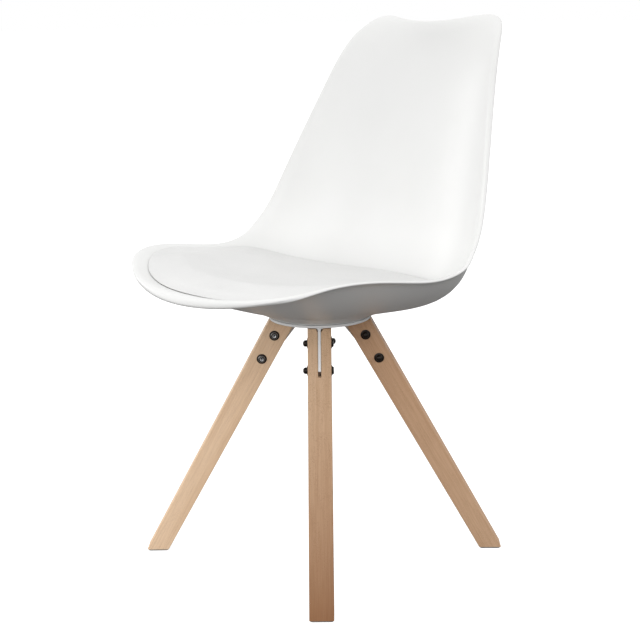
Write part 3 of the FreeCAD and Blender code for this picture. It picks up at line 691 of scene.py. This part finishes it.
# ---------------------------------------------------------------- seat pad
PAD_FRONT_STATION, PAD_BACK_STATION = 1.5, 6.0
PAD_MIDDLE = (PAD_FRONT_STATION + PAD_BACK_STATION) / 2
PAD_REACH = (PAD_BACK_STATION - PAD_FRONT_STATION) / 2
PAD_HALF_SHARE = 0.94
PAD_FRONT_ROUNDNESS, PAD_BACK_ROUNDNESS = 3.4, 2.7
PAD_GAP = 0.6 * MM
PAD_TOP, PAD_FRONT_EDGE, PAD_BACK_EDGE = 41 * MM, 3.4 * MM, 15 * MM
PAD_START_DROP = 1.2 * MM       # the pad starts this much thinner, and swells
PAD_SWELL_CAP = 4.0 * MM
PAD_SPOKES = 120
PAD_RINGS = 34
PAD_EDGE_RINGS = 3
PAD_START = 0.012               # the first ring's share of the pad, by area
SWELL_FRAMES = 20


def pad_outline(turn):
    roundness = np.where(np.sin(turn) < 0, PAD_FRONT_ROUNDNESS, PAD_BACK_ROUNDNESS)
    across, along = rounded_outline(turn, roundness, PAD_REACH)
    return across * PAD_HALF_SHARE, along


def pad_surface(spokes, share, height):
    """Ring of the pad at a share of its outline, this high over the tub."""
    across, along = spokes
    place = (across * share, PAD_MIDDLE + along * share)
    base = tub_point(*place) + tub_normal(*place) * PAD_GAP
    base[:, 2] += height - PAD_GAP
    return base


def pad_crown(spokes, share):
    """Full in the middle, thin at the front and sides, deeper where it meets the back."""
    rearward = np.clip(spokes[1] / PAD_REACH, 0, 1)
    edge = PAD_FRONT_EDGE + (PAD_BACK_EDGE - PAD_FRONT_EDGE) * rearward ** 3
    return edge + (PAD_TOP - edge) * (1 - share ** 4)


def make_pad_block(material):
    """The pad before it swells: the CAD pad's outline, a thinner edge, and the edge rounded."""
    spokes = even_spokes(pad_outline, PAD_MIDDLE, PAD_SPOKES)
    shares = np.sqrt(np.linspace(PAD_START, 1, PAD_RINGS))
    lower = [pad_surface(spokes, share, np.full(PAD_SPOKES, PAD_GAP)) for share in shares]
    upper = [pad_surface(spokes, share, pad_crown(spokes, share) - PAD_START_DROP) for share in shares]
    out = unit(lower[-1] - lower[-2])
    rise = upper[-1] - lower[-1]
    edge = []
    for angle in np.linspace(0, np.pi, PAD_EDGE_RINGS + 2)[1:-1]:
        bulge = np.linalg.norm(rise, axis=1, keepdims=True) * 0.5 * math.sin(angle)
        edge.append(lower[-1] + rise * (1 - math.cos(angle)) / 2 + out * bulge)
    bottom = lower[0].mean(axis=0)
    top = upper[0].mean(axis=0)
    return closed_form("seat_pad", bottom, lower + edge + upper[::-1], top, material)


def apply_modifiers(piece):
    """Replace the piece's mesh with what its modifiers make of it."""
    graph = bpy.context.evaluated_depsgraph_get()
    mesh = bpy.data.meshes.new_from_object(piece.evaluated_get(graph))
    piece.modifiers.clear()
    old = piece.data
    piece.data = mesh
    bpy.data.meshes.remove(old)


def coordinates(mesh):
    values = np.empty(len(mesh.vertices) * 3)
    mesh.vertices.foreach_get("co", values)
    return values.reshape(-1, 3)


def swell(pad):
    """Inflate the cover: the underside, edge and outermost ring of the top are held still."""
    start = coordinates(pad.data)
    held = pad.vertex_groups.new(name="held")
    held_rings = PAD_RINGS + PAD_EDGE_RINGS + 1
    held.add(list(range(1 + PAD_SPOKES * held_rings)), 1.0, "REPLACE")
    cloth = pad.modifiers.new("cover", "CLOTH")
    cloth.settings.quality = 6
    cloth.settings.mass = 0.35
    cloth.settings.tension_stiffness = 25
    cloth.settings.compression_stiffness = 25
    cloth.settings.bending_stiffness = 2.0
    cloth.settings.use_pressure = True
    cloth.settings.uniform_pressure_force = 4
    cloth.settings.effector_weights.gravity = 0
    cloth.settings.vertex_group_mass = "held"
    scene = bpy.context.scene
    cloth.point_cache.frame_start = 1
    cloth.point_cache.frame_end = SWELL_FRAMES
    for number in range(1, SWELL_FRAMES + 1):
        scene.frame_set(number)
    apply_modifiers(pad)
    scene.frame_set(1)
    moved = coordinates(pad.data) - start
    length = np.linalg.norm(moved, axis=1, keepdims=True)
    capped = moved * np.minimum(1, PAD_SWELL_CAP / np.maximum(length, 1e-9))
    pad.data.vertices.foreach_set("co", (start + capped).ravel())
    pad.data.update()


def make_pad(material):
    """The finished pad: swelled, softened and made finer."""
    pad = make_pad_block(material)
    swell(pad)
    smooth = pad.modifiers.new("soften", "SMOOTH")
    smooth.factor = 0.5
    smooth.iterations = 2
    subdivide = pad.modifiers.new("finer", "SUBSURF")
    subdivide.levels = subdivide.render_levels = 1
    apply_modifiers(pad)
    shade_smooth(pad.data)
    return pad


# ---------------------------------------------------------------- fasteners
FLANGE_TOP = 1.2 * MM                       # everything on a head above this is above its flange
# Radii of the brighter metal on the bolt heads, partly wear and partly painted light: a painted glint
# in the socket and a painted highlight ring on the shoulder.
SOCKET_WEAR_AND_GLINT = (0, 2.9 * MM)
SHOULDER_WEAR_AND_HIGHLIGHT = (4.5 * MM, 5.7 * MM)
THREAD_RADIUS = 3 * MM
NUT_RADIUS, DOME_FOOT, DOME_RISE = 4.9 * MM, 3.9 * MM, 3.5 * MM


def socket_screw(name, head_profile, socket_radius, socket_depth, reach, material):
    """One screw, its head's seat at Z = 0 and its head above, with a hexagon socket."""
    angles = np.linspace(0, 2 * np.pi, 48, endpoint=False)
    flat = np.cos(np.pi / 6) / np.cos((angles % (np.pi / 3)) - np.pi / 6)

    def ring(radius, height, hexagon=0.0):
        return level_ring(radius * (1 - hexagon + hexagon * flat), angles, height)

    head = rounded(head_profile, 0.5 * MM, 3)
    top = head_profile[-1][1]
    rings = [
        ring(THREAD_RADIUS * 0.9, -reach),
        ring(THREAD_RADIUS, -reach + 0.6 * MM),
        ring(THREAD_RADIUS, -0.05 * MM),
    ]
    rings += [ring(radius, height) for radius, height in head]
    rings += [
        ring(socket_radius * 1.16, top),
        ring(socket_radius * 1.04, top - 0.12 * MM, 0.8),
        ring(socket_radius, top - 0.35 * MM, 1.0),
        ring(socket_radius, top - socket_depth, 1.0),
        ring(socket_radius * 0.6, top - socket_depth - 0.25 * MM, 0.5),
    ]
    bottom = np.array([0, 0, -reach - 0.1 * MM])
    floor = np.array([0, 0, top - socket_depth - 0.5 * MM])
    return closed_form(name, bottom, rings, floor, material)


def bolt_template(material):
    head = [
        (7.6 * MM, 0), (7.8 * MM, 0.9 * MM), (6.0 * MM, 1.1 * MM), (5.9 * MM, 2.5 * MM),
        (4.6 * MM, 3.5 * MM), (3.4 * MM, 3.6 * MM),
    ]
    return socket_screw(
        "bolt", head, socket_radius=2.6 * MM, socket_depth=2.2 * MM, reach=40 * MM, material=material
    )


def nut_template(material):
    """Domed nut: a blind bore for the bolt's end, a flange, a round collar and a round cap."""
    profile = [
        (0, 5.3 * MM), (2.9 * MM, 5.3 * MM), (2.9 * MM, 0), (7.5 * MM, 0), (7.7 * MM, 0.9 * MM),
        (5.4 * MM, 1.4 * MM), (NUT_RADIUS, 1.9 * MM), (NUT_RADIUS, DOME_FOOT),
    ]
    dome = [
        (NUT_RADIUS * math.cos(angle), DOME_FOOT + DOME_RISE * math.sin(angle))
        for angle in np.linspace(0, np.pi / 2, 8)[1:]
    ]
    return turned("nut", rounded(profile, 0.3 * MM, 2) + dome, material, (0, 0, 0), 48)


def seat_screw_template(material):
    head = [(5.5 * MM, 0), (5.75 * MM, 1.6 * MM), (4.9 * MM, 3.0 * MM), (3.4 * MM, 3.3 * MM)]
    return socket_screw(
        "seat_screw", head, socket_radius=2.3 * MM, socket_depth=1.8 * MM, reach=12.5 * MM,
        material=material,
    )


def fastener_layout():
    """Geometry Nodes tree: one fastener set at every point, turned as the point says."""
    tree = bpy.data.node_groups.new("set_out_fasteners", "GeometryNodeTree")
    face = tree.interface
    face.new_socket("Geometry", in_out="INPUT", socket_type="NodeSocketGeometry")
    face.new_socket("Fastener", in_out="INPUT", socket_type="NodeSocketObject")
    face.new_socket("Size", in_out="INPUT", socket_type="NodeSocketFloat")
    face.new_socket("Finish", in_out="INPUT", socket_type="NodeSocketMaterial")
    face.new_socket("Geometry", in_out="OUTPUT", socket_type="NodeSocketGeometry")
    add = tree.nodes.new
    source, sink = add("NodeGroupInput"), add("NodeGroupOutput")
    fetch = add("GeometryNodeObjectInfo")
    turn = add("GeometryNodeInputNamedAttribute")
    turn.data_type = "FLOAT_VECTOR"
    turn.inputs["Name"].default_value = "turn"
    copies = add("GeometryNodeInstanceOnPoints")
    realize = add("GeometryNodeRealizeInstances")
    paint = add("GeometryNodeSetMaterial")
    join = tree.links.new
    join(source.outputs["Fastener"], fetch.inputs["Object"])
    join(source.outputs["Geometry"], copies.inputs["Points"])
    join(fetch.outputs["Geometry"], copies.inputs["Instance"])
    join(turn.outputs["Attribute"], copies.inputs["Rotation"])
    join(source.outputs["Size"], copies.inputs["Scale"])
    join(copies.outputs["Instances"], realize.inputs["Geometry"])
    join(realize.outputs["Geometry"], paint.inputs["Geometry"])
    join(source.outputs["Finish"], paint.inputs["Material"])
    join(paint.outputs["Geometry"], sink.inputs["Geometry"])
    return tree


def set_out(tree, name, template, places, material):
    """A piece made of the template at each (point, turn matrix), as one plain mesh."""
    mesh = bpy.data.meshes.new(name)
    mesh.from_pydata([tuple(point) for point, turn in places], [], [])
    attribute = mesh.attributes.new("turn", "FLOAT_VECTOR", "POINT")
    for index, (point, turn) in enumerate(places):
        attribute.data[index].vector = turn.to_euler("XYZ")
    piece = bpy.data.objects.new(name, mesh)
    bpy.context.scene.collection.objects.link(piece)
    layout = piece.modifiers.new("layout", "NODES")
    layout.node_group = tree
    values = {"Fastener": template, "Size": 1.0, "Finish": material}
    for item in tree.interface.items_tree:
        if item.in_out == "INPUT" and item.name in values:
            layout[item.identifier] = values[item.name]
    apply_modifiers(piece)
    shade_smooth(piece.data)
    return piece


def add_wear_and_painted_light(piece, places, radii, material):
    """A brighter metal on each head between two radii: partly wear from a key or a spanner, partly a
    painted highlight.
    """
    inner, outer = radii
    mesh = piece.data
    mesh.materials.append(material)
    for point, turn in places:
        back = turn.inverted()
        for face in mesh.polygons:
            local = back @ (face.center - point)
            if local.z > FLANGE_TOP and inner < math.hypot(local.x, local.y) < outer:
                face.material_index = len(mesh.materials) - 1


def bolt_places(place_name, side):
    """Where the two bolts meet one face of a leg, and the turn that points Z out of it."""
    angle = math.radians(PLACES[place_name])
    outward = Vector((math.cos(angle), math.sin(angle), 0))
    sideways = Vector((-math.sin(angle), math.cos(angle), 0)) * side
    places = []
    for drop in BOLT_DROPS:
        radius = middle_of_leg(drop)
        point = LEG_AXIS + outward * radius + sideways * (LEG_WIDTH / 2)
        point.z = PLATE_UNDERSIDE - drop
        turn = sideways.to_track_quat("Z", "X").to_matrix()
        places.append((point, turn))
    return places


def middle_of_leg(drop):
    """How far the leg's middle line is from the chair's axis, this far under the plate."""
    top = sum(LEG_TOP_RADII) / 2
    foot = sum(LEG_FOOT_RADII) / 2
    return top + (foot - top) * drop / PLATE_UNDERSIDE


# ---------------------------------------------------------------- put the chair together
def adopt(piece, slot, *nodes):
    """Put a piece on the chair's one body, in the place of these CAD nodes."""
    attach(piece, BODY)
    if nodes:
        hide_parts(*nodes)


make_camera()
light_the_room()
make_floor()

white_plastic = moulded_plastic()
adopt(make_shell(white_plastic), "shell_plastic", "shell")
adopt(make_boss(white_plastic), "shell_plastic")

seat_pad = make_pad(leatherette())
adopt(seat_pad, "pad_leatherette", "cushion_cover", "cushion_foam", "cushion_base_board")

steel = black_steel()
zinc = zinc_plate()
wear_and_highlight = worn_steel_and_painted_highlight()
layout_tree = fastener_layout()
bolt = bolt_template(steel)
nut = nut_template(steel)
seat_screw = seat_screw_template(zinc)
for leg_place in PLACES:
    heads = bolt_places(leg_place, 1)
    bolts = set_out(layout_tree, "bolts_" + leg_place, bolt, heads, steel)
    # Zinc in each socket is partly wear from the key and partly a painted glint; the brighter shoulder
    # ring is partly wear and partly a painted highlight.
    add_wear_and_painted_light(bolts, heads, SOCKET_WEAR_AND_GLINT, zinc)
    add_wear_and_painted_light(bolts, heads, SHOULDER_WEAR_AND_HIGHLIGHT, wear_and_highlight)
    adopt(bolts, "black_steel", "leg_bolts_" + leg_place)
    nuts = set_out(layout_tree, "nuts_" + leg_place, nut, bolt_places(leg_place, -1), steel)
    adopt(nuts, "black_steel", "cap_nuts_" + leg_place)
screw_places = []
for degrees in SCREW_ANGLES:
    radians = math.radians(degrees)
    point = LEG_AXIS + Vector((math.cos(radians), math.sin(radians), 0)) * SCREW_CIRCLE_RADIUS
    point.z = PLATE_UNDERSIDE
    screw_places.append((point, Matrix.Rotation(math.pi, 3, "X")))
adopt(set_out(layout_tree, "plate_screws", seat_screw, screw_places, zinc), "zinc_screw", "seat_screws")
for template in (bolt, nut, seat_screw):
    bpy.data.objects.remove(template)

coat = powder_coat()
glide_polymer = matt_polymer("grey_glide", (0.22, 0.22, 0.22), (0.31, 0.31, 0.31), 0.55)
give("mounting_plate", coat)
give("plate_spacers", matt_polymer("black_rubber", (0.02, 0.02, 0.02), (0.045, 0.045, 0.045), 0.7))
give("seat_inserts", brass())
for leg_place in PLACES:
    give("leg_" + leg_place, beech(leg_place))
    give("leg_fin_" + leg_place, coat)
    give("foot_glide_" + leg_place, glide_polymer)
